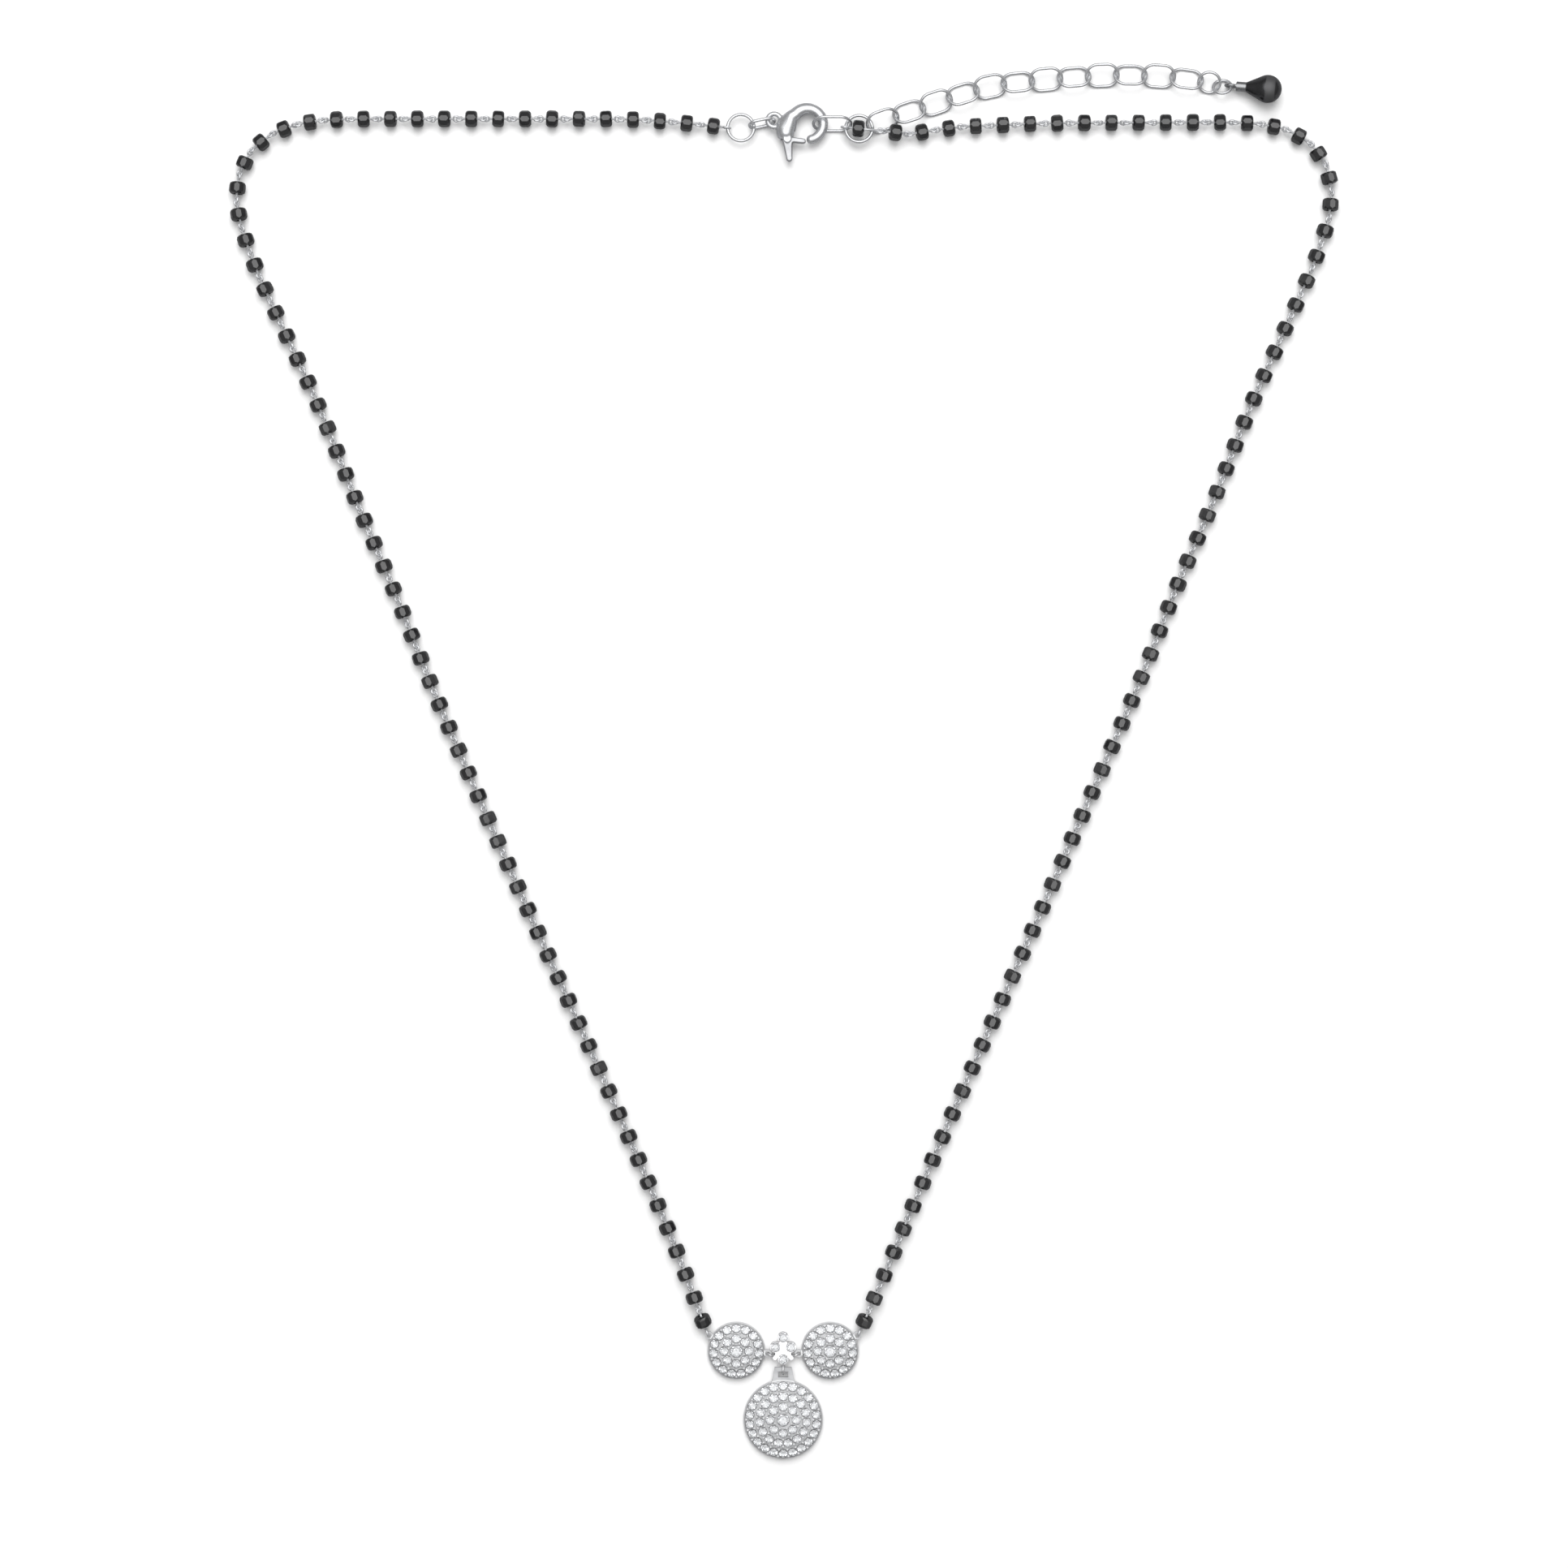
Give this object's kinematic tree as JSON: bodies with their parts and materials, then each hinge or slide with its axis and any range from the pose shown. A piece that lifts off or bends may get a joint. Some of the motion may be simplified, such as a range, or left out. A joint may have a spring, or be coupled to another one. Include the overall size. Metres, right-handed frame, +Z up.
{
  "type": "mangalsutra",
  "caption": "Black bead necklace with a pendant of round stone set discs and a stone cluster, a lobster clasp with a lever, and an extender chain with a drop.",
  "frame": {"origin": "middle of the box that the necklace fills, on the surface that it lies on", "axes": "+Y from the pendant towards the clasp, +Z up from the surface, +X towards the extender's free end"},
  "size_m": [0.1314, 0.1652, 0.0033],
  "materials": {
    "black_bead": "black, cut and polished",
    "string_wire": "bright rhodium plated wire",
    "disc_metal": "bright rhodium plated, with small beads raised from the metal",
    "disc_stone": "clear, cut and polished",
    "cluster_metal": "bright rhodium plated",
    "cluster_stone": "clear, cut and polished",
    "ring_wire": "bright rhodium plated wire",
    "clasp_metal": "cast and polished",
    "lever_metal": "stamped and polished",
    "chain_wire": "bright rhodium plated wire",
    "drop_metal": "dark and polished, with a frosted band"
  },
  "bodies": {
    "necklace": {"bead_string_left": "black_bead", "bead_string_right": "black_bead", "string_wire_left": "string_wire", "string_wire_right": "string_wire", "main_disc": "disc_metal", "left_disc": "disc_metal", "right_disc": "disc_metal", "main_disc_stones": "disc_stone", "left_disc_stones": "disc_stone", "right_disc_stones": "disc_stone", "cluster_setting": "cluster_metal", "cluster_stones": "cluster_stone", "clasp_ring": "ring_wire", "clasp_link": "ring_wire", "hook_link": "ring_wire", "end_ring": "ring_wire", "clasp_body": "clasp_metal", "clasp_pin": "clasp_metal", "extender_link_01": "chain_wire", "extender_link_02": "chain_wire", "extender_link_03": "chain_wire", "extender_link_04": "chain_wire", "extender_link_05": "chain_wire", "extender_link_06": "chain_wire", "extender_link_07": "chain_wire", "extender_link_08": "chain_wire", "extender_link_09": "chain_wire", "extender_link_10": "chain_wire", "extender_link_11": "chain_wire", "extender_link_12": "chain_wire", "extender_end_link": "chain_wire", "drop_ring": "ring_wire", "end_drop": "drop_metal"},
    "clasp_lever": {"clasp_lever": "lever_metal"}
  },
  "joints": [
    {"name": "lever_hinge", "type": "hinge", "parent": "necklace", "child": "clasp_lever", "pos_m": [0.00049, 0.07355, 0.00115], "axis": [0, 0, 1], "range_deg": [0, 30], "stiffness_Nm_per_rad": 0.0005, "springref_deg": -20.05}
  ]
}
